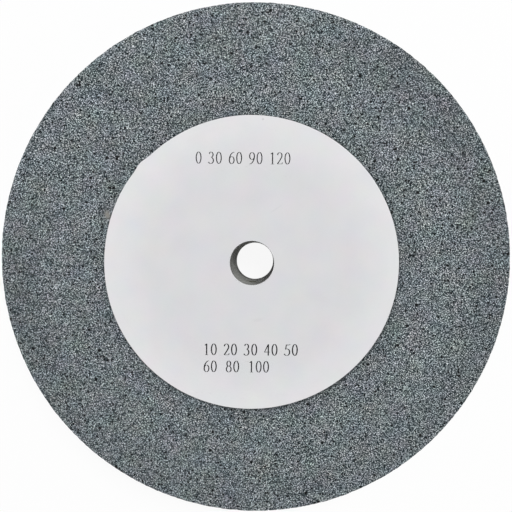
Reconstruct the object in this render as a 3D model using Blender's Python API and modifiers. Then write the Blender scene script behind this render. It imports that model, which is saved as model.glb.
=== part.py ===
# Straight grinding wheel for a bench grinder: a turned abrasive wheel with a round bore,
# and a paper blotter pasted on each side, where the machine's flanges clamp it.
# Metres, +Z up. The wheel lies on its rear blotter, its axis is Z, and the printed side is up.
import math

import bpy

# Abrasive wheel
wheel_diameter = 0.200
wheel_width = 0.025
bore_diameter = 0.016
rim_edge_chamfer = 0.0004
bore_mouth_chamfer = 0.0007

# Paper blotters
blotter_diameter = 0.1155
blotter_thickness = 0.0004
paste_gap = 0.0003

# Steps round the axis, and the angle above which an edge stays crisp
turn_steps = 180
crisp_edge_angle = math.radians(30)

# Levels up the stack, from the table that the wheel lies on
rear_blotter_bottom = 0.0
wheel_bottom = rear_blotter_bottom + blotter_thickness + paste_gap
wheel_top = wheel_bottom + wheel_width
front_blotter_bottom = wheel_top + paste_gap

# A blotter's hole ends where the bore's mouth begins, so the spindle never touches the paper
wheel_radius = wheel_diameter / 2
bore_radius = bore_diameter / 2
blotter_hole_radius = bore_radius + bore_mouth_chamfer


# Scene
def clear_scene():
    for old in list(bpy.data.objects):
        bpy.data.objects.remove(old, do_unlink=True)


def new_collection(name):
    made = bpy.data.collections.new(name)
    bpy.context.scene.collection.children.link(made)
    return made


def plain_material(name, colour, roughness):
    made = bpy.data.materials.new(name)
    made.use_nodes = True
    shader = made.node_tree.nodes["Principled BSDF"]
    shader.inputs["Base Color"].default_value = (*colour, 1.0)
    shader.inputs["Roughness"].default_value = roughness
    shader.inputs["Metallic"].default_value = 0.0
    made.diffuse_color = (*colour, 1.0)
    return made


# Turned shapes
def turned(name, profile, height, material, collection):
    """A closed (radius, z) profile, down its outer side first, turned once round Z."""
    corners = [(radius, 0.0, z) for radius, z in profile]
    sides = [(i, (i + 1) % len(corners)) for i in range(len(corners))]
    outline = bpy.data.meshes.new(name + "_profile")
    outline.from_pydata(corners, sides, [])

    lathe = bpy.data.objects.new(name + "_lathe", outline)
    collection.objects.link(lathe)
    screw = lathe.modifiers.new("Turn", "SCREW")
    screw.axis = "Z"
    screw.angle = math.tau
    screw.steps = turn_steps
    screw.render_steps = turn_steps
    screw.use_merge_vertices = True
    screw.merge_threshold = 0.00001

    # The turned mesh is kept, so that its round faces can be smooth and its corners crisp
    bpy.context.view_layer.update()
    graph = bpy.context.evaluated_depsgraph_get()
    mesh = bpy.data.meshes.new_from_object(lathe.evaluated_get(graph))
    mesh.name = name
    mesh.shade_smooth()
    mesh.set_sharp_from_angle(angle=crisp_edge_angle)
    mesh.materials.append(material)
    bpy.data.objects.remove(lathe)
    bpy.data.meshes.remove(outline)

    piece = bpy.data.objects.new(name, mesh)
    piece.location.z = height
    collection.objects.link(piece)
    return piece


def ring_profile(outer_radius, inner_radius, thickness, outer_chamfer=0.0, inner_chamfer=0.0):
    """A flat ring's section, with its outer and inner corners cut at 45 degrees."""
    corners = []
    for radius, chamfer, side in ((outer_radius, outer_chamfer, 1), (inner_radius, inner_chamfer, -1)):
        edge = [
            (radius - side * chamfer, thickness),
            (radius, thickness - chamfer),
            (radius, chamfer),
            (radius - side * chamfer, 0.0),
        ]
        if not chamfer:
            edge = [edge[0], edge[-1]]
        corners += edge[::side]
    return corners


# Pieces
def make_abrasive_wheel(collection, material):
    section = ring_profile(
        wheel_radius, bore_radius, wheel_width, rim_edge_chamfer, bore_mouth_chamfer
    )
    return turned("abrasive_wheel", section, wheel_bottom, material, collection)


def make_blotter(name, bottom, collection, material):
    section = ring_profile(blotter_diameter / 2, blotter_hole_radius, blotter_thickness)
    return turned(name, section, bottom, material, collection)


def main():
    clear_scene()
    pieces = new_collection("grinding_wheel")
    abrasive = plain_material("grey_abrasive", (0.153, 0.175, 0.185), 0.92)
    paper = plain_material("blotter_paper", (0.70, 0.70, 0.715), 0.75)

    make_abrasive_wheel(pieces, abrasive)
    make_blotter("front_blotter", front_blotter_bottom, pieces, paper)
    make_blotter("rear_blotter", rear_blotter_bottom, pieces, paper)


main()
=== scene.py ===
# Looks of a straight grinding wheel: the gritty body, a paper blotter on each side
# and a few plain printed figures. Metres, Z up, the printed side is up.
import math

import bmesh
import bpy
from mathutils import Matrix, Vector


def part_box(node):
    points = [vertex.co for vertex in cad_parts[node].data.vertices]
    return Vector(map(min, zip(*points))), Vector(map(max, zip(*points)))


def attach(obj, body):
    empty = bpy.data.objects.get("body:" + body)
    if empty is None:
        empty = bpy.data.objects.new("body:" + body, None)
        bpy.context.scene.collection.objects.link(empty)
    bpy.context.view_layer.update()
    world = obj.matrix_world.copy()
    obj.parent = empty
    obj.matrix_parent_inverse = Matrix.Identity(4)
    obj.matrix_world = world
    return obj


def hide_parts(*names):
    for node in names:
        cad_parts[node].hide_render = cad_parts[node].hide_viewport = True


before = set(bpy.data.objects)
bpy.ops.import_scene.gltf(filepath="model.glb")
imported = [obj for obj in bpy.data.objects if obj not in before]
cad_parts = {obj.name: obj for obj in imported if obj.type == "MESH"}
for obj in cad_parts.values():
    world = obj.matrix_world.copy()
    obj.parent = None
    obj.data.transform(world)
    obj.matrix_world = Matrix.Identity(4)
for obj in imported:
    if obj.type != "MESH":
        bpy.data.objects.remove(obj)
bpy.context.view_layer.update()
print("stage: frame loaded")


# Sizes that everything below is built from
mm = 0.001
tiny = 0.01 * mm
quarterRound = 0.5    # the profile of a bevel that is a quarter of a circle


def reachOf(node):
    # nearest and farthest point of a turned node from its axis
    reach = [math.hypot(v.co.x, v.co.y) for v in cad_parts[node].data.vertices]
    return min(reach), max(reach)


boreRadius, rimRadius = reachOf("abrasive_wheel")
holeRadius, blotterRadius = reachOf("front_blotter")
bodyBottom, bodyTop = (corner.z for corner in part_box("abrasive_wheel"))
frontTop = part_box("front_blotter")[1].z
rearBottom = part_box("rear_blotter")[0].z


# Small modelling helpers
def deselectAll():
    bpy.ops.object.select_all(action="DESELECT")


def makeActive(piece):
    deselectAll()
    piece.select_set(True)
    bpy.context.view_layer.objects.active = piece


def pickPoints(piece, isPicked):
    # selects vertices by their place, in edit mode, with the edges and faces between them
    bpy.ops.mesh.select_all(action="DESELECT")
    mesh = bmesh.from_edit_mesh(piece.data)
    for vert in mesh.verts:
        if isPicked(vert.co):
            vert.select = True
    mesh.select_flush_mode()
    bmesh.update_edit_mesh(piece.data)


def pickEdges(piece, isPicked):
    # selects edges by the place of their middle
    bpy.ops.mesh.select_all(action="DESELECT")
    mesh = bmesh.from_edit_mesh(piece.data)
    for edge in mesh.edges:
        if isPicked((edge.verts[0].co + edge.verts[1].co) / 2):
            edge.select = True
    bmesh.update_edit_mesh(piece.data)


def movePoints(piece, shiftAt):
    # moves every vertex, in edit mode, by a function of its place
    mesh = bmesh.from_edit_mesh(piece.data)
    for vert in mesh.verts:
        vert.co += shiftAt(vert.co)
    bmesh.update_edit_mesh(piece.data)


def roundCorner(size, steps, profile):
    # rounds the selected corners of a section
    bpy.ops.mesh.bevel(offset=size, affect="VERTICES", segments=steps, profile=profile)


def applyModifiers(piece):
    makeActive(piece)
    for modifier in list(piece.modifiers):
        bpy.ops.object.modifier_apply(modifier=modifier.name)


def weighPoints(piece, name, weightAt):
    # a vertex group whose weight, to two decimals, is a function of the point's place
    group = piece.vertex_groups.new(name=name)
    steps = {}
    for vert in piece.data.vertices:
        steps.setdefault(round(weightAt(vert.co), 2), []).append(vert.index)
    for weight, indices in steps.items():
        if weight > 0:
            group.add(indices, weight, "REPLACE")


def cloudTexture(name, size, depth=1, basis="IMPROVED_PERLIN"):
    made = bpy.data.textures.new(name, "CLOUDS")
    made.noise_scale = size
    made.noise_depth = depth
    made.noise_basis = basis
    return made


def displace(piece, texture, strength, group="", direction="NORMAL", middle=0.5):
    made = piece.modifiers.new(texture.name, "DISPLACE")
    made.texture = texture
    made.texture_coords = "LOCAL"
    made.direction = direction
    made.strength = strength
    made.mid_level = middle
    made.vertex_group = group


def ease(low, high, value):
    # 0 below low, 1 above high, smooth between them
    share = min(1.0, max(0.0, (value - low) / (high - low)))
    return share * share * (3 - 2 * share)


def spinSection(turns):
    # turns the edit-mode section once round Z and closes its seam
    bpy.ops.mesh.select_all(action="SELECT")
    bpy.ops.mesh.spin(
        steps=turns, dupli=False, angle=math.tau, use_auto_merge=True, center=(0, 0, 0), axis=(0, 0, 1)
    )
    bpy.ops.mesh.select_all(action="SELECT")
    bpy.ops.mesh.remove_doubles(threshold=tiny)
    bpy.ops.mesh.normals_make_consistent(inside=False)


def sectionPlane(name, inner, outer, bottom, top):
    # the rectangle that is turned: an upright plane at +X, with its size applied
    deselectAll()
    bpy.ops.mesh.primitive_plane_add(
        size=1, location=((inner + outer) / 2, 0, (bottom + top) / 2), rotation=(math.pi / 2, 0, 0)
    )
    piece = bpy.context.object
    piece.name = piece.data.name = name
    piece.scale = (outer - inner, top - bottom, 1)
    makeActive(piece)
    bpy.ops.object.transform_apply(location=True, rotation=True, scale=True)
    return piece


# Abrasive body
stone = {
    "turns": 640,             # faces round the wheel
    "sideRings": 44,          # rings of faces on each bare side
    "rimRings": 26,           # rings of faces across the rim
    "wallRings": 20,          # rings of faces down the bore
    "hiddenRings": 4,         # rings of faces under each paper
    "underPaper": 2.0 * mm,   # how far the fine faces run in under the paper
    "gritFade": 1.0 * mm,     # the grit grows over this width on each side of where they start
    "rimRound": 0.2 * mm,     # worn corner at the rim
    "rimSteps": 3,            # faces across it
    "mouthRound": 0.7 * mm,   # eased corner at the rear end of the bore
    "mouthSteps": 2,
    "mouthBulge": 0.4,        # a little flatter than a quarter of a circle
    "frontFlare": 0.70 * mm,  # how much wider the bore is at the printed side
    "lean": Vector((-0.07 * mm, -0.09 * mm, 0)),  # the bore's front end stands a hair off its axis
    "groove": 0.04 * mm,      # depth of the rings in the bore's wall
    "grooveWaves": (2.1, 5.3),    # radians a mm: two waves down the bore make the rings unlike
    "grooveLag": 1.0,             # radians that the second wave is ahead
    "lump": 6.0 * mm,         # size of the slow unevenness
    "lumpDepth": 0.06 * mm,
    "grit": 1.4 * mm,         # size of the coarsest grains and pits
    "gritDepth": 0.10 * mm,
    "gritMiddle": 0.45,       # level of the pattern that leaves the face where it is
    "chip": 1.6 * mm,         # size of the crumbs gone from the rim's corners
    "chipDepth": 0.16 * mm,
    "chipMiddle": 0.85,       # high, so that the crumbs only go inwards
    "chipContrast": 2.5,
    "chipBrightness": 0.75,
    "chipReach": 0.9 * mm,    # how far from a corner crumbs are gone
    "scarAt": Vector((3.97 * mm, -7.46 * mm, 18.7 * mm)),  # rough patch in the bore's wall
    "scarReach": (0.96 * mm, 3.2 * mm),  # full depth up to here, and none from there
    "scarCrumb": 0.9 * mm,
    "scarDepth": 0.30 * mm,
    "scarMiddle": 0.6,
}


def grooveAt(p):
    # rings of unlike depth down the bore, none at its two ends
    isWall = p.x < boreRadius + stone["frontFlare"]
    isBetweenEnds = bodyBottom + stone["mouthRound"] + tiny < p.z < bodyTop - tiny
    slow, quick = (wave * (p.z / mm) for wave in stone["grooveWaves"])
    depth = stone["groove"] * math.sin(slow) ** 2 * math.cos(quick + stone["grooveLag"]) ** 2
    return Vector((isWall * isBetweenEnds * depth, 0, 0))


def makeBody():
    piece = sectionPlane("gritty_body", boreRadius, rimRadius, bodyBottom, bodyTop)
    bpy.ops.object.mode_set(mode="EDIT")
    pickPoints(piece, lambda p: p.x > rimRadius - tiny)
    roundCorner(stone["rimRound"], stone["rimSteps"], quarterRound)
    pickPoints(piece, lambda p: p.x < boreRadius + tiny and p.z < bodyBottom + tiny)
    roundCorner(stone["mouthRound"], stone["mouthSteps"], stone["mouthBulge"])
    pickPoints(piece, lambda p: p.x < boreRadius + tiny and p.z > bodyTop - tiny)
    bpy.ops.transform.translate(value=(stone["frontFlare"], 0, 0))
    bpy.ops.mesh.select_all(action="SELECT")
    bpy.ops.mesh.delete(type="ONLY_FACE")

    # the hidden stretch under the paper stays coarse, and what is bare is cut fine
    middleHeight = (bodyTop + bodyBottom) / 2
    bareFrom = blotterRadius - stone["underPaper"]
    bpy.ops.mesh.select_all(action="SELECT")
    bpy.ops.mesh.bisect(plane_co=(bareFrom, 0, 0), plane_no=(1, 0, 0))
    for side in (bodyBottom, bodyTop):
        pickEdges(piece, lambda p: abs(p.z - side) < tiny and p.x > bareFrom + tiny)
        bpy.ops.mesh.subdivide(number_cuts=stone["sideRings"] - 1)
        pickEdges(piece, lambda p: abs(p.z - side) < tiny and p.x < bareFrom - tiny)
        bpy.ops.mesh.subdivide(number_cuts=stone["hiddenRings"] - 1)
    pickEdges(piece, lambda p: p.x > rimRadius - tiny)
    bpy.ops.mesh.subdivide(number_cuts=stone["rimRings"] - 1)
    wallEnd = boreRadius + stone["frontFlare"]
    # the middle of the bore's wall lies half its eased corner above the body's
    pickEdges(piece, lambda p: p.x < wallEnd and abs(p.z - middleHeight) < stone["mouthRound"])
    bpy.ops.mesh.subdivide(number_cuts=stone["wallRings"] - 1)
    movePoints(piece, grooveAt)
    spinSection(stone["turns"])
    bpy.ops.object.mode_set(mode="OBJECT")

    def bare(p):
        return ease(bareFrom - stone["gritFade"], bareFrom + stone["gritFade"], math.hypot(p.x, p.y))

    def corner(p):
        fromSide = min(abs(p.z - bodyTop), abs(p.z - bodyBottom))
        away = max(fromSide, rimRadius - math.hypot(p.x, p.y))
        return 1 - ease(stone["rimRound"], stone["chipReach"], away)

    # the next ring of points, under the paper, lies much further out
    boreEnd = holeRadius + 1 * mm

    def isBore(p):
        return math.hypot(p.x, p.y) < boreEnd

    def scar(p):
        isInside = isBore(p) and p.z < bodyTop - tiny
        return isInside * (1 - ease(*stone["scarReach"], (p - stone["scarAt"]).length))

    for vert in piece.data.vertices:
        if isBore(vert.co):
            vert.co += stone["lean"] * (vert.co.z - bodyBottom) / (bodyTop - bodyBottom)
    weighPoints(piece, "bare", bare)
    weighPoints(piece, "corner", corner)
    weighPoints(piece, "scar", scar)
    displace(piece, cloudTexture("slowLumps", stone["lump"], depth=2), stone["lumpDepth"], "bare")
    grit = cloudTexture("gritLumps", stone["grit"], basis="VORONOI_F1")
    displace(piece, grit, stone["gritDepth"], "bare", middle=stone["gritMiddle"])
    chips = cloudTexture("rimCrumbs", stone["chip"])
    chips.contrast = stone["chipContrast"]
    chips.intensity = stone["chipBrightness"]
    displace(piece, chips, stone["chipDepth"], "corner", middle=stone["chipMiddle"])
    crumbs = cloudTexture("boreScar", stone["scarCrumb"], depth=2)
    displace(piece, crumbs, stone["scarDepth"], "scar", middle=stone["scarMiddle"])
    applyModifiers(piece)
    piece.vertex_groups.clear()
    bpy.ops.object.shade_smooth()
    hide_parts("abrasive_wheel")
    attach(piece, "root")
    return piece


# Paper blotters
paper = {
    "turns": 360,              # faces round the disc
    "rings": 26,               # rings of faces on each side
    "edgeRound": 0.07 * mm,
    "edgeSteps": 3,            # faces across that round
    "edgeHold": 0.3 * mm,      # the last ring of faces, so that only the very edge turns down
    "edgeDrop": 0.22 * mm,     # the pasted edge lies lower than the middle
    "edgeReach": 24.0 * mm,    # how far in from the edge it starts to sink
    "crease": math.radians(40),    # angle from which an edge shows crisp
    "wave": 26.0 * mm,         # size of the paper's slow waves
    "waveDepth": 0.09 * mm,
    "cut": {"X": 24.0 * mm, "Y": 27.6 * mm},  # size of the wander of the hand-cut outline
    "cutDepth": 0.10 * mm,
    "offCentre": Vector((-0.58 * mm, -0.58 * mm, 0)),  # the front disc is pasted a little off
    "seat": 0.02 * mm,         # how far the paper sinks among the grains
    "holeTrim": -0.02 * mm,    # how much wider the hole is cut than in the solid
    "scissorMarks": (
        # places where the scissors strayed from the round: angle, width in degrees, step outwards
        (138.3, 2.8, 0.64 * mm),
        (150.5, 14.5, 0.37 * mm),
        (196.0, 34.0, 0.20 * mm),
        (294.0, 38.0, -0.38 * mm),
    ),
}


def cutOutline(piece, offCentre, holeShift, marks):
    # shifts and trims the outer edge, shifts the hole, and carries what lies between them along
    for vert in piece.data.vertices:
        reach = math.hypot(vert.co.x, vert.co.y)
        share = ease(holeRadius, blotterRadius, reach)
        outward = Vector((vert.co.x, vert.co.y, 0)) / reach
        angle = math.degrees(math.atan2(vert.co.y, vert.co.x))
        step = sum(
            depth * math.exp(-(((angle - at + 180) % 360 - 180) / width) ** 2) for at, width, depth in marks
        )
        vert.co += share * (offCentre + step * outward) + (1 - share) * holeShift


def paperWaves():
    # one texture for the paper and for what is printed on it, so that the print follows the paper
    return bpy.data.textures.get("paperWaves") or cloudTexture("paperWaves", paper["wave"])


def paperDrop(x, y):
    # how far the paper's face lies below its middle at a place
    return paper["edgeDrop"] * ease(blotterRadius - paper["edgeReach"], blotterRadius, math.hypot(x, y))


def makeBlotter(name, node, outside, offCentre, marks):
    # outside is the height of the face that shows, and the paper's other face lies on the body
    isFront = outside > bodyTop
    inside = bodyTop - paper["seat"] if isFront else bodyBottom + paper["seat"]
    hole = holeRadius + paper["holeTrim"]
    piece = sectionPlane(name, hole, blotterRadius, min(inside, outside), max(inside, outside))
    bpy.ops.object.mode_set(mode="EDIT")
    pickPoints(piece, lambda p: abs(p.z - outside) < tiny)
    roundCorner(paper["edgeRound"], paper["edgeSteps"], quarterRound)
    bpy.ops.mesh.select_all(action="SELECT")
    bpy.ops.mesh.delete(type="ONLY_FACE")
    for held in (hole + paper["edgeHold"], blotterRadius - paper["edgeHold"]):
        bpy.ops.mesh.select_all(action="SELECT")
        bpy.ops.mesh.bisect(plane_co=(held, 0, 0), plane_no=(1, 0, 0))
    middle = (hole + blotterRadius) / 2
    for height in (inside, outside):
        pickEdges(piece, lambda p: abs(p.z - height) < tiny and abs(p.x - middle) < paper["edgeHold"])
        bpy.ops.mesh.subdivide(number_cuts=paper["rings"] - 1)

    def isShown(p):
        return abs(p.z - inside) > paper["edgeDrop"]

    inward = -1 if isFront else 1
    movePoints(piece, lambda p: Vector((0, 0, inward * paperDrop(p.x, p.y) * isShown(p))))
    spinSection(paper["turns"])
    bpy.ops.object.mode_set(mode="OBJECT")
    cutOutline(piece, offCentre, stone["lean"] * isFront, marks)

    weighPoints(piece, "cutEdge", lambda p: ease(holeRadius, blotterRadius, math.hypot(p.x, p.y)))
    weighPoints(piece, "face", isShown)
    for axis, size in paper["cut"].items():
        wander = cloudTexture(f"{name}_cut{axis}", size, depth=2)
        displace(piece, wander, paper["cutDepth"], "cutEdge", axis)
    if isFront:
        displace(piece, paperWaves(), paper["waveDepth"], "face", "Z")
    applyModifiers(piece)
    piece.vertex_groups.clear()
    bpy.ops.object.shade_smooth_by_angle(angle=paper["crease"])
    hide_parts(node)
    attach(piece, "root")
    return piece


# Printed figures: plain counting numbers, drawn with a broad nib
figures = {
    "height": 4.6 * mm,
    "broad": 1.12,        # how much wider than drawn below
    "advance": 2.9 * mm,
    "thick": 0.47 * mm,   # width of an upright stroke
    "thin": 0.14 * mm,    # width of a level stroke
    "film": 0.02 * mm,    # how far the ink stands on the paper
    "points": 10,         # points to a quarter turn
    "drop": 0.012,        # half the length of a stroke's small round end, in figure heights
    "closed": 0.001,      # a stroke whose two ends lie nearer than this is a loop
    "rows": (
        # left end, baseline, rise along the row, weight of the ink, space between numbers, numbers
        (-22.42 * mm, 38.38 * mm, -0.002, 0.87, 2.1 * mm, range(0, 121, 30)),
        (-18.83 * mm, -36.74 * mm, 0.010, 1.06, 2.2 * mm, range(10, 51, 10)),
        (-18.79 * mm, -43.55 * mm, 0.010, 1.00, 3.1 * mm, range(60, 101, 20)),
    ),
}


def bow(x, y, wide, high, start, end):
    # points along an ellipse's arc, in figure heights, angles in degrees
    count = max(3, round(abs(end - start) / 90 * figures["points"]))
    turns = [math.radians(start + (end - start) * i / count) for i in range(count + 1)]
    return [(x + wide * math.cos(t), y + high * math.sin(t)) for t in turns]


def drop(x, y):
    # the small round end of a curved stroke
    return [(x, y - figures["drop"]), (x, y + figures["drop"])]


digitStrokes = {
    # the strokes of each digit, in figure heights from its lower left corner
    "0": [bow(0.23, 0.5, 0.18, 0.48, 90, 450)],
    "1": [[(0.24, 0.0), (0.24, 0.98)], [(0.11, 0.84), (0.24, 0.97)], [(0.12, 0.015), (0.36, 0.015)]],
    "2": [
        bow(0.21, 0.73, 0.17, 0.25, 165, -30) + [(0.27, 0.42), (0.15, 0.20), (0.04, 0.03)],
        [(0.04, 0.03), (0.38, 0.03), (0.43, 0.15)],
        drop(0.07, 0.78),
    ],
    "3": [
        bow(0.20, 0.76, 0.15, 0.22, 155, -75),
        bow(0.18, 0.27, 0.20, 0.27, 85, -150),
        drop(0.08, 0.83),
        drop(0.04, 0.12),
    ],
    "4": [[(0.32, 0.97), (0.03, 0.30), (0.45, 0.30)], [(0.32, 0.0), (0.32, 0.97)]],
    "5": [
        [(0.42, 0.98), (0.40, 0.93), (0.14, 0.93), (0.09, 0.54)],
        bow(0.18, 0.30, 0.22, 0.29, 120, -150),
        drop(0.03, 0.13),
    ],
    "6": [bow(0.23, 0.31, 0.18, 0.30, 90, 450), bow(0.44, 0.34, 0.38, 0.64, 180, 92)],
    "7": [[(0.04, 0.84), (0.07, 0.94), (0.42, 0.94), (0.30, 0.55), (0.18, 0.0)]],
    "8": [bow(0.22, 0.75, 0.14, 0.23, 90, 450), bow(0.22, 0.27, 0.18, 0.26, 90, 450)],
    "9": [bow(0.23, 0.67, 0.18, 0.30, 90, 450), bow(0.02, 0.64, 0.38, 0.64, 0, -88)],
}


def nibWidth(before, after):
    # width of a stroke on its way from one point to another
    across, up = after[0] - before[0], after[1] - before[1]
    length = math.hypot(across, up) or 1.0
    return math.hypot(figures["thick"] * up / length, figures["thin"] * across / length)


def drawStroke(curve, points, left, base, slope, weight, rowLeft):
    # left and base are where the digit starts, and rowLeft is where its row does
    line = curve.splines.new("POLY")
    isLoop = math.dist(points[0], points[-1]) < figures["closed"]
    if isLoop:
        points = points[:-1]
        line.use_cyclic_u = True
    line.points.add(len(points) - 1)
    last = len(points) - 1
    for i, (x, y) in enumerate(points):
        before = points[i - 1] if i or isLoop else points[0]
        after = points[(i + 1) % len(points)] if i < last or isLoop else points[last]
        across = left + x * figures["broad"] * figures["height"]
        up = base + y * figures["height"] + slope * (across - rowLeft)
        line.points[i].co = (across, up, 0, 1)
        line.points[i].radius = weight * nibWidth(before, after) / figures["thick"]


def makeFigures():
    curve = bpy.data.curves.new("printed_figures", "CURVE")
    curve.dimensions = "3D"
    curve.bevel_depth = figures["thick"] / 2
    curve.bevel_resolution = 1
    curve.use_fill_caps = True
    for rowLeft, base, slope, weight, space, numbers in figures["rows"]:
        at = rowLeft
        for number in numbers:
            for digit in str(number):
                for points in digitStrokes[digit]:
                    drawStroke(curve, points, at, base, slope, weight, rowLeft)
                at += figures["advance"]
            at += space
    piece = bpy.data.objects.new("printed_figures", curve)
    bpy.context.scene.collection.objects.link(piece)
    makeActive(piece)
    bpy.ops.object.convert(target="MESH")
    piece = bpy.context.object
    flatten = Matrix.Scale(figures["film"] / figures["thick"], 4, (0, 0, 1))
    piece.data.transform(flatten)
    for vert in piece.data.vertices:
        vert.co.z += frontTop + figures["film"] - paperDrop(vert.co.x, vert.co.y)
    displace(piece, paperWaves(), paper["waveDepth"], direction="Z")
    applyModifiers(piece)
    bpy.ops.object.shade_smooth()
    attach(piece, "root")
    return piece


# Material helpers: patterns and places are in millimetres
noiseSpan = (0.3, 0.7)    # a pattern of clouds seldom leaves these two levels


def addNode(tree, kind, values=None, **settings):
    made = tree.nodes.new(kind)
    for name, value in settings.items():
        setattr(made, name, value)
    for name, value in (values or {}).items():
        made.inputs[name].default_value = value
    return made


def newMaterial(name):
    made = bpy.data.materials.new(name)
    made.use_nodes = True
    return made, made.node_tree, made.node_tree.nodes["Principled BSDF"]


def stretched(tree, where, scale):
    # the same places, with each axis counted finer or coarser
    made = addNode(tree, "ShaderNodeMapping", {"Scale": scale})
    tree.links.new(where, made.inputs["Vector"])
    return made.outputs["Vector"]


def inMillimetres(tree):
    # the piece's own coordinates, counted in millimetres
    place = addNode(tree, "ShaderNodeTexCoord")
    return stretched(tree, place.outputs["Object"], (1 / mm, 1 / mm, 1 / mm))


def cells(tree, where, size):
    # unlike grains: the distance to each one's middle, and its three chances
    made = addNode(tree, "ShaderNodeTexVoronoi", {"Scale": 1 / size, "Randomness": 1.0})
    chances = addNode(tree, "ShaderNodeSeparateColor")
    tree.links.new(where, made.inputs["Vector"])
    tree.links.new(made.outputs["Color"], chances.inputs["Color"])
    return made.outputs["Distance"], chances.outputs


def clouds(tree, where, size, detail=2.0, roughness=0.5, distortion=0.0):
    values = {"Scale": 1 / size, "Detail": detail, "Roughness": roughness, "Distortion": distortion}
    made = addNode(tree, "ShaderNodeTexNoise", values)
    tree.links.new(where, made.inputs["Vector"])
    return made.outputs["Fac"]


def maths(tree, operation, *values):
    made = addNode(tree, "ShaderNodeMath", operation=operation)
    for i, value in enumerate(values):
        if isinstance(value, (int, float)):
            made.inputs[i].default_value = value
        else:
            tree.links.new(value, made.inputs[i])
    return made.outputs[0]


def product(tree, *values):
    result = values[0]
    for value in values[1:]:
        result = maths(tree, "MULTIPLY", result, value)
    return result


def between(tree, value, atNone, atFull):
    # a value from 0 to 1 as a level between two others
    return maths(tree, "MULTIPLY_ADD", value, atFull - atNone, atNone)


def around(tree, value, share):
    # a value from 0 to 1 as a factor that swings evenly about 1
    return between(tree, value, 1 - share / 2, 1 + share / 2)


def rise(tree, value, low, high, atLow=0.0, atHigh=1.0):
    # goes smoothly from one level to another between two limits
    limits = {"From Min": low, "From Max": high, "To Min": atLow, "To Max": atHigh}
    made = addNode(tree, "ShaderNodeMapRange", limits, interpolation_type="SMOOTHSTEP")
    tree.links.new(value, made.inputs["Value"])
    return made.outputs["Result"]


def towards(tree, where, side):
    # how far a place lies towards one side
    made = addNode(tree, "ShaderNodeVectorMath", {1: side}, operation="DOT_PRODUCT")
    tree.links.new(where, made.inputs[0])
    return made.outputs["Value"]


def reachFrom(tree, where, x=0.0, y=0.0):
    # distance from an upright line
    flat = addNode(tree, "ShaderNodeVectorMath", {1: (1, 1, 0), 2: (-x, -y, 0)}, operation="MULTIPLY_ADD")
    length = addNode(tree, "ShaderNodeVectorMath", operation="LENGTH")
    tree.links.new(where, flat.inputs[0])
    tree.links.new(flat.outputs["Vector"], length.inputs[0])
    return length.outputs["Value"]


def ball(tree, where, centre, inner, outer):
    # 1 near a point and 0 away from it
    away = addNode(tree, "ShaderNodeVectorMath", {1: centre}, operation="DISTANCE")
    tree.links.new(where, away.inputs[0])
    return rise(tree, away.outputs["Value"], inner, outer, 1.0, 0.0)


def oval(tree, where, x, y, wide, high, turn):
    # 1 in the middle of an oval patch and 0 at its edge, at any height
    patch = {"Location": (x, y, 0), "Rotation": (0, 0, math.radians(turn)), "Scale": (wide, high, 1)}
    place = addNode(tree, "ShaderNodeMapping", patch, vector_type="TEXTURE")
    tree.links.new(where, place.inputs["Vector"])
    return rise(tree, reachFrom(tree, place.outputs["Vector"]), 0.0, 1.0, 1.0, 0.0)


def ramp(tree, value, *stops):
    # colours by level: each stop is a level and a colour
    made = addNode(tree, "ShaderNodeValToRGB")
    elements = made.color_ramp.elements
    while len(elements) < len(stops):
        elements.new(0.5)
    for element, (position, colour) in zip(elements, stops):
        element.position = position
        element.color = (*colour[:3], 1)
    tree.links.new(value, made.inputs["Fac"])
    return made.outputs["Color"]


def blend(tree, share, first, second):
    # one colour over another, by a share
    made = addNode(tree, "ShaderNodeMix", data_type="RGBA")
    tree.links.new(share, made.inputs["Factor"])
    for socket, colour in ((made.inputs[6], first), (made.inputs[7], second)):
        if isinstance(colour, tuple):
            socket.default_value = (*colour[:3], 1)
        else:
            tree.links.new(colour, socket)
    return made.outputs[2]


def tinted(tree, colour, tint):
    # a colour times another
    made = addNode(tree, "ShaderNodeVectorMath", operation="MULTIPLY")
    tree.links.new(colour, made.inputs[0])
    tree.links.new(tint, made.inputs[1])
    return made.outputs["Vector"]


def levelled(tree, colour, level):
    # a colour times a number
    made = addNode(tree, "ShaderNodeVectorMath", operation="SCALE")
    tree.links.new(colour, made.inputs[0])
    tree.links.new(level, made.inputs["Scale"])
    return made.outputs["Vector"]


def asLinear(shade):
    # one channel of a screen colour, from 0 to 255, as linear light
    share = shade / 255
    return share / 12.92 if share <= 0.04045 else ((share + 0.055) / 1.055) ** 2.4


def screenColour(red, green, blue):
    return (asLinear(red), asLinear(green), asLinear(blue))


def setFinish(tree, shader, look, height):
    # how dull the surface is, and its fine bumps
    shader.inputs["Specular IOR Level"].default_value = look["specular"]
    values = {"Strength": look["bumpStrength"], "Distance": look["bumpDepth"]}
    bump = addNode(tree, "ShaderNodeBump", values)
    tree.links.new(height, bump.inputs["Height"])
    tree.links.new(bump.outputs["Normal"], shader.inputs["Normal"])


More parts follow.
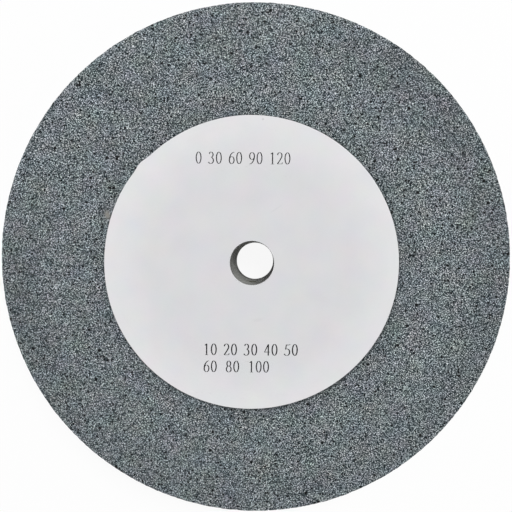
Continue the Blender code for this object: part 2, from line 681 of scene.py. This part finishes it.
# Stone: grains, clouds, blotches, pores, painted shade and glints, and the smooth wall of the bore
gritLook = {
    "grain": 0.28,           # mm across a grain
    "crowding": 0.29,        # how much a pale grain darkens those beside it
    "beside": 0.42,          # mm from a grain to those
    "steepness": 3.6,        # how rare the pale grains are
    "darkGrain": (0.0002, 0.0105, 0.0150),
    "paleGrain": (0.749, 0.823, 0.859),
    "paintedGlintShare": 0.012,     # how many grains get a painted glint: near-white colour in place of light off a crystal
    "paintedGlintColour": (0.86, 0.92, 0.95),
    "roughness": (0.70, 0.95),
    "specular": 0.3,
    "bumpStrength": 0.6,
    "bumpDepth": 0.08 * mm,
    "cloudSize": 6.0,        # mm, slow change of lightness
    "cloudShare": 0.22,
    "blotchSize": 8.5,       # mm, violet and green blotches
    "blotchShare": (0.285, 0.170, 0.200),
    "pores": (
        # mm between the places where a pore may be, share of them with one, its core and edge in mm: pores
        # are painted shade
        (1.2, 0.13, 0.38, 0.49),
        (4.0, 0.20, 0.52, 0.74),
    ),
    # how dark the painted shade in a pore is
    "poreShade": 0.98,
    "paperEdgeShadows": (
        # middle, from, to in mm, and level: painted shadow along the paper's edge, where it stands on the
        # stone
        ((-0.35, -1.0), 57.7, 58.9, 0.70),
        ((-0.58, -0.58), 57.9, 58.8, 0.76),
    ),
    "innerBand": (58.0, 67.0, 0.84),   # darker ring round the paper
    "rimShadeBand": (79.0, 93.0, 0.83),     # painted shade: darker ring along the rim
    "paintedLitSide": (-0.50, 0.87, 0),    # the side painted as lit, where that painted shade fades out
    "litSideReach": (34.0, 76.0),         # mm towards that side, from where to where
    "lowerSide": (-20.0, -70.0, 0.07),  # mm upwards from, to, and how much less dark the painted shade is there
    "stain": (-57.3, 18.2, 1.9, 2.8, 15),    # x, y, half width, half height in mm, turn: dried paste
    "stainColour": (0.262, 0.255, 0.232),
}
wallLook = {
    "reach": 8.95,                     # mm, the wall of the bore ends here
    "ringGrain": (0.18, 0.18, 1.2),    # patches a mm along X, Y and Z: long round the bore
    "streakGrain": (1.3, 1.3, 0.1),    # and long down it
    "darkRing": (0.200, 0.203, 0.190),
    "paleRing": (0.370, 0.374, 0.358),
    "streak": 0.35,                    # how much the streaks along the bore change it
    "rearPaintedLight": 1.25,                  # painted light: the wall is paler towards the rear, in place of light from below
    "shadeDeepSide": (-2.0, -5.5),          # mm, from where to where the painted shade deep in the bore grows
    "shadeDeepReach": (2.0, 13.0, 0.48),    # mm from the rear, mm to, and the painted shade's level at the rear
    "oilAt": (-0.1, -8.4, 13.0),       # mm, an oily mark
    "oilReach": (0.5, 4.2),            # mm, from where to where it fades
    "oilTint": (0.34, 0.35, 0.24),
    "scarAt": (3.6, -7.60, 10.5),      # mm, a patch of crumbs
    "scarReach": (1.0, 3.0),           # mm, from where to where it fades
    "scarStretch": 0.4,                # its crumbs are longer along the bore
    "crumb": 1.0,                      # mm
    "crumbStops": (0.42, 0.58),        # levels of the pattern that are dark and pale
    "scarHollowShade": (0.020, 0.021, 0.022),
    "scarPale": (0.600, 0.610, 0.600),
    "marks": (
        # x, y, z, reach in mm, and level: painted shade below 1 and painted light above 1 on the wall
        (7.3, -4.2, 7.0, 7.5, 0.30),
        (7.3, -4.6, 17.0, 6.5, 0.30),
        (-7.8, -3.8, 24.3, 1.5, 0.35),
        (0.2, -8.2, 6.0, 1.6, 2.3),
        (1.0, -8.3, 12.5, 4.0, 0.66),
        (3.4, -7.8, 18.0, 5.0, 0.36),
        (3.4, -7.3, 4.0, 4.5, 0.45),
        (-6.6, -4.6, 3.0, 5.0, 0.70),
        (-4.4, -7.2, 19.5, 7.0, 1.35),
        (0.5, 8.3, 12.0, 11.0, 1.5),
    ),
}


def stoneLevel(tree, where):
    # everything that makes the stone lighter or darker from place to place, painted shade among it
    reach = reachFrom(tree, where)
    pores = []
    for apart, share, core, edge in gritLook["pores"]:
        away, chances = cells(tree, where, apart)
        # each pore is a spot of painted shade
        isPore = maths(tree, "LESS_THAN", chances["Green"], share)
        inPore = rise(tree, away, core / apart, edge / apart, 1.0, 0.0)
        pores.append(between(tree, product(tree, isPore, inPore), 1.0, 1 - gritLook["poreShade"]))
    innerFrom, innerTo, innerLevel = gritLook["innerBand"]
    rimFrom, rimTo, rimLevel = gritLook["rimShadeBand"]
    # painted shade along the rim, fading out towards the side painted as lit
    ring = rise(tree, reach, rimFrom, rimTo, 0.0, 1 - rimLevel)
    spared = rise(tree, towards(tree, where, gritLook["paintedLitSide"]), *gritLook["litSideReach"], 1.0, 0.0)
    lowFrom, lowTo, lowGain = gritLook["lowerSide"]
    lower = rise(tree, towards(tree, where, (0, 1, 0)), lowTo, lowFrom, 1 - lowGain / (1 - rimLevel), 1.0)
    slow = clouds(tree, where, gritLook["cloudSize"], detail=3.0, roughness=0.6)
    return product(
        tree,
        around(tree, slow, gritLook["cloudShare"]),
        *pores,
        # painted shadow along the paper's edge
        *(rise(tree, reachFrom(tree, where, *middle), *limits, level, 1.0)
          for middle, *limits, level in gritLook["paperEdgeShadows"]),
        rise(tree, reach, innerFrom, innerTo, innerLevel, 1.0),
        maths(tree, "SUBTRACT", 1.0, product(tree, ring, spared, lower)),
    )


def blotches(tree, where, size, shares):
    # slow changes of tint: every channel swings on its own about 1
    noise = addNode(tree, "ShaderNodeTexNoise", {"Scale": 1 / size, "Detail": 1.5})
    lows = tuple(1 - share / 2 for share in shares)
    swing = addNode(tree, "ShaderNodeVectorMath", {1: shares, 2: lows}, operation="MULTIPLY_ADD")
    tree.links.new(where, noise.inputs["Vector"])
    tree.links.new(noise.outputs["Color"], swing.inputs[0])
    return swing.outputs["Vector"]


def wallColour(tree, where):
    # faint rings round the bore, painted light that makes it paler towards the rear, painted shade deep on
    # its lower side and at marked places, with an oily mark
    rings = clouds(tree, stretched(tree, where, wallLook["ringGrain"]), 1.0, detail=4.0, roughness=0.6)
    streaks = clouds(tree, stretched(tree, where, wallLook["streakGrain"]), 1.0, detail=4.0, roughness=0.6)
    darkLevel, paleLevel = noiseSpan
    colour = ramp(tree, rings, (darkLevel, wallLook["darkRing"]), (paleLevel, wallLook["paleRing"]))
    upwards = towards(tree, where, (0, 1, 0))
    height = towards(tree, where, (0, 0, 1))
    unshadedSide, shadowedSide = wallLook["shadeDeepSide"]
    shadeDeepFrom, shadeDeepTo, shadeDeepLevel = wallLook["shadeDeepReach"]
    # painted shade deep in the bore, on its lower side
    shadeDeepDown = product(
        tree,
        rise(tree, upwards, shadowedSide, unshadedSide, 1.0, 0.0),
        rise(tree, height, shadeDeepFrom, shadeDeepTo, 1 - shadeDeepLevel, 0.0),
    )
    level = product(
        tree,
        rise(tree, height, 0.0, bodyTop / mm, wallLook["rearPaintedLight"], 1.0),
        maths(tree, "SUBTRACT", 1.0, shadeDeepDown),
        around(tree, streaks, wallLook["streak"]),
        # painted shade and light on the wall
        *(between(tree, ball(tree, where, centre, 0.0, reach), 1.0, share)
          for *centre, reach, share in wallLook["marks"]),
    )
    oily = ball(tree, where, wallLook["oilAt"], *wallLook["oilReach"])
    oil = blend(tree, oily, (1.0, 1.0, 1.0), wallLook["oilTint"])
    colour = tinted(tree, levelled(tree, colour, level), oil)

    # the patch of crumbs, with painted shade in its small hollows
    stretch = wallLook["scarStretch"]
    drawn = stretched(tree, where, (1, 1, stretch))
    x, y, z = wallLook["scarAt"]
    inScar = ball(tree, drawn, (x, y, z * stretch), *wallLook["scarReach"])
    darkLevel, paleLevel = wallLook["crumbStops"]
    crumbs = clouds(tree, drawn, wallLook["crumb"], detail=1.0)
    crumbs = ramp(tree, crumbs, (darkLevel, wallLook["scarHollowShade"]), (paleLevel, wallLook["scarPale"]))
    return blend(tree, inScar, colour, crumbs)


def grainShade(tree, where, own):
    # a grain's own chance, lowered where the three beside it are pale and raised where they are dark
    turns = (90, 210, 330)
    total = 0.0
    for turn in turns:
        angle = math.radians(turn)
        away = (gritLook["beside"] * math.cos(angle), gritLook["beside"] * math.sin(angle), 0)
        place = addNode(tree, "ShaderNodeMapping", {"Location": away})
        tree.links.new(where, place.inputs["Vector"])
        _, chances = cells(tree, place.outputs["Vector"], gritLook["grain"])
        total = maths(tree, "ADD", chances["Red"], total)
    crowding = gritLook["crowding"]
    change = maths(tree, "MULTIPLY_ADD", total, -crowding / len(turns), crowding / 2)
    shade = maths(tree, "ADD", own, change)
    shade.node.use_clamp = True
    return maths(tree, "POWER", shade, gritLook["steepness"])


def makeGritMaterial():
    made, tree, shader = newMaterial("gritStone")
    where = inMillimetres(tree)

    # grains: every cell has its own tone, most of them dark, and a few get a painted glint
    _, chances = cells(tree, where, gritLook["grain"])
    steep = grainShade(tree, where, chances["Red"])
    shades = ramp(tree, steep, (0.0, gritLook["darkGrain"]), (1.0, gritLook["paleGrain"]))
    # painted glints: a few grains are coloured near white in place of light caught by a crystal
    isPaintedGlint = maths(tree, "GREATER_THAN", chances["Blue"], 1 - gritLook["paintedGlintShare"])
    grains = blend(tree, isPaintedGlint, shades, gritLook["paintedGlintColour"])
    tint = blotches(tree, where, gritLook["blotchSize"], gritLook["blotchShare"])
    colour = levelled(tree, tinted(tree, grains, tint), stoneLevel(tree, where))
    colour = blend(tree, oval(tree, where, *gritLook["stain"]), colour, gritLook["stainColour"])

    # the wall of the bore is smooth, without such grains
    isWall = maths(tree, "LESS_THAN", reachFrom(tree, where), wallLook["reach"])
    tree.links.new(blend(tree, isWall, colour, wallColour(tree, where)), shader.inputs["Base Color"])

    tree.links.new(between(tree, chances["Blue"], *gritLook["roughness"]), shader.inputs["Roughness"])
    height = product(tree, chances["Green"], maths(tree, "SUBTRACT", 1.0, isWall))
    setFinish(tree, shader, gritLook, height)
    return made


# Paper: fibres, slow mottle, paler towards the edge, and faint marks of handling
paperLook = {
    "middle": screenColour(217.1, 216.9, 219.5),
    "edge": screenColour(226.1, 225.9, 227.9),
    "edgeBand": (36.0, 58.5),      # mm from the middle, where one turns into the other
    "paintedLitPaperSide": (-0.87, -0.50, 0),  # the side where the paper is painted a little paler: painted light
    "paintedLitPaperShare": 0.016,
    "mottleSize": 9.5,             # mm
    "mottleShare": 0.029,
    "tintSize": 9.5,               # mm, faint warm and cool blotches
    "tintShare": (0.085, 0.085, 0.067),
    "fibreSize": 0.55,             # mm
    "fibreShare": 0.09,
    "roughness": (0.68, 0.84),
    "specular": 0.3,
    "bumpStrength": 0.4,
    "bumpDepth": 0.03 * mm,
    "smudges": (
        # x, y, half width, half height in mm, turn in degrees, level
        (2.6, -22.44, 3.2, 1.2, 10, 0.95),
        (9.1, 21.09, 4.5, 0.5, 35, 0.95),
        (3.62, 55.57, 0.7, 0.6, 0, 0.75),
        (-30.0, 6.0, 9.0, 5.0, 60, 0.98),
        (28.0, -14.0, 11.0, 4.0, -20, 0.98),
    ),
}


def makePaperMaterial():
    made, tree, shader = newMaterial("blotterPaper")
    where = inMillimetres(tree)
    paleEdgeShare = rise(tree, reachFrom(tree, where), *paperLook["edgeBand"])
    colour = blend(tree, paleEdgeShare, paperLook["middle"], paperLook["edge"])
    fibres = clouds(tree, where, paperLook["fibreSize"], detail=5.0, roughness=0.65, distortion=1.5)
    mottle = clouds(tree, where, paperLook["mottleSize"], detail=3.0)
    edge = blotterRadius / mm
    share = paperLook["paintedLitPaperShare"]
    level = product(
        tree,
        # painted light: the paper paler towards one side
        rise(tree, towards(tree, where, paperLook["paintedLitPaperSide"]), -edge, edge, 1 - share, 1 + share),
        around(tree, mottle, paperLook["mottleShare"]),
        around(tree, fibres, paperLook["fibreShare"]),
        *(between(tree, oval(tree, where, *patch), 1.0, shade)
          for *patch, shade in paperLook["smudges"]),
    )
    colour = tinted(tree, colour, blotches(tree, where, paperLook["tintSize"], paperLook["tintShare"]))
    tree.links.new(levelled(tree, colour, level), shader.inputs["Base Color"])
    tree.links.new(rise(tree, fibres, *noiseSpan, *paperLook["roughness"]), shader.inputs["Roughness"])
    setFinish(tree, shader, paperLook, fibres)
    return made


# Ink: thin where the paper's fibres stand up
inkLook = {
    "full": screenColour(10, 10, 12),
    "thin": screenColour(34, 34, 38),
    "patchSize": 0.5,              # mm
    "stops": (0.42, 0.70),         # levels of the pattern that are full and thin
    "roughness": (0.50, 0.75),
    "specular": 0.2,
}


def makeInkMaterial():
    made, tree, shader = newMaterial("printingInk")
    where = inMillimetres(tree)
    cover = clouds(tree, where, inkLook["patchSize"], detail=4.0, roughness=0.6, distortion=1.0)
    fullLevel, thinLevel = inkLook["stops"]
    colour = ramp(tree, cover, (fullLevel, inkLook["full"]), (thinLevel, inkLook["thin"]))
    tree.links.new(colour, shader.inputs["Base Color"])
    tree.links.new(rise(tree, cover, *noiseSpan, *inkLook["roughness"]), shader.inputs["Roughness"])
    shader.inputs["Specular IOR Level"].default_value = inkLook["specular"]
    return made


# Camera, floor and light
studio = {
    "cameraAt": Vector((9.771 * mm, 7.555 * mm, 216.04 * mm)),
    "aimAt": Vector((4.428 * mm, -1.640 * mm, 25.7 * mm)),
    "roll": math.radians(0.70),
    "lens": 34.14,                 # mm
    "film": 36.0,                  # mm, width of the picture behind the lens
    "shift": (-0.0143, 0.0218),    # the photo is cropped a little off the lens's middle
    "clip": (0.01, 50.0),          # m, nearest and farthest that shows
    "keyFrom": Vector((0.25, 0.44, 0.86)),    # the side that the soft lamp shines from
    "keyAway": 2.2,                # m
    "keySize": 1.0,                # m
    "keyPower": 38.0,              # W
    "sky": 0.33,                   # how strongly the sky lights the wheel from all round
    "floorSide": 6.0,              # m
    "floorDrop": 0.02 * mm,        # so that it doesn't meet the paper face to face
    "floorColour": (0.9, 0.9, 0.9),
    "floorRoughness": 0.9,
    "floorWhite": 0.92,            # how much of its look is plain white: the rest keeps the shadow
}


def makeFloorMaterial():
    made, tree, shader = newMaterial("whiteFloor")
    shader.inputs["Base Color"].default_value = (*studio["floorColour"], 1)
    shader.inputs["Roughness"].default_value = studio["floorRoughness"]
    seen = addNode(tree, "ShaderNodeLightPath")
    glow = addNode(tree, "ShaderNodeEmission")
    mix = addNode(tree, "ShaderNodeMixShader")
    share = maths(tree, "MAXIMUM", seen.outputs["Is Camera Ray"], seen.outputs["Is Glossy Ray"])
    share = maths(tree, "MAXIMUM", share, seen.outputs["Is Transmission Ray"])
    tree.links.new(product(tree, share, studio["floorWhite"]), mix.inputs["Fac"])
    tree.links.new(shader.outputs["BSDF"], mix.inputs[1])
    tree.links.new(glow.outputs["Emission"], mix.inputs[2])
    tree.links.new(mix.outputs["Shader"], tree.nodes["Material Output"].inputs["Surface"])
    return made


def makeCamera():
    data = bpy.data.cameras.new("camera")
    camera = bpy.data.objects.new("camera", data)
    bpy.context.scene.collection.objects.link(camera)
    backward = (studio["cameraAt"] - studio["aimAt"]).normalized()
    upward = Vector((-math.sin(studio["roll"]), math.cos(studio["roll"]), 0))
    right = upward.cross(backward).normalized()
    turn = Matrix((right, backward.cross(right), backward)).transposed()
    camera.location = studio["cameraAt"]
    camera.rotation_euler = turn.to_euler()
    data.lens = studio["lens"]
    data.shift_x, data.shift_y = studio["shift"]
    data.sensor_width = studio["film"]
    data.clip_start, data.clip_end = studio["clip"]
    bpy.context.scene.camera = camera


def makeFloor():
    deselectAll()
    bpy.ops.mesh.primitive_plane_add(size=studio["floorSide"], location=(0, 0, -studio["floorDrop"]))
    floor = bpy.context.object
    floor.name = "floor"
    floor.data.materials.append(makeFloorMaterial())


def makeLight():
    data = bpy.data.lights.new("key", "AREA")
    data.shape = "DISK"
    data.size = studio["keySize"]
    data.energy = studio["keyPower"]
    key = bpy.data.objects.new("key", data)
    key.location = studio["keyFrom"].normalized() * studio["keyAway"]
    key.rotation_euler = (-key.location).to_track_quat("-Z", "Y").to_euler()
    bpy.context.scene.collection.objects.link(key)

    # where the camera sees the sky, it is plain white
    world = bpy.data.worlds.new("sky")
    world.use_nodes = True
    bpy.context.scene.world = world
    tree = world.node_tree
    seen = addNode(tree, "ShaderNodeLightPath")
    share = maths(tree, "MAXIMUM", seen.outputs["Is Camera Ray"], seen.outputs["Is Transmission Ray"])
    backdrop = tree.nodes["Background"]
    backdrop.inputs["Color"].default_value = (1, 1, 1, 1)
    tree.links.new(between(tree, share, studio["sky"], 1.0), backdrop.inputs["Strength"])


body = makeBody()
body.data.materials.append(makeGritMaterial())
print("stage: body", len(body.data.polygons), "faces")
paperMaterial = makePaperMaterial()
front = makeBlotter("front_paper", "front_blotter", frontTop, paper["offCentre"], paper["scissorMarks"])
front.data.materials.append(paperMaterial)
rear = makeBlotter("rear_paper", "rear_blotter", rearBottom, Vector((0, 0, 0)), ())
rear.data.materials.append(paperMaterial)
print("stage: blotters", len(front.data.polygons) + len(rear.data.polygons), "faces")
printed = makeFigures()
printed.data.materials.append(makeInkMaterial())
print("stage: figures", len(printed.data.polygons), "faces")
makeCamera()
makeFloor()
makeLight()
bpy.context.scene.view_settings.view_transform = "Standard"
print("stage: camera, floor and light")
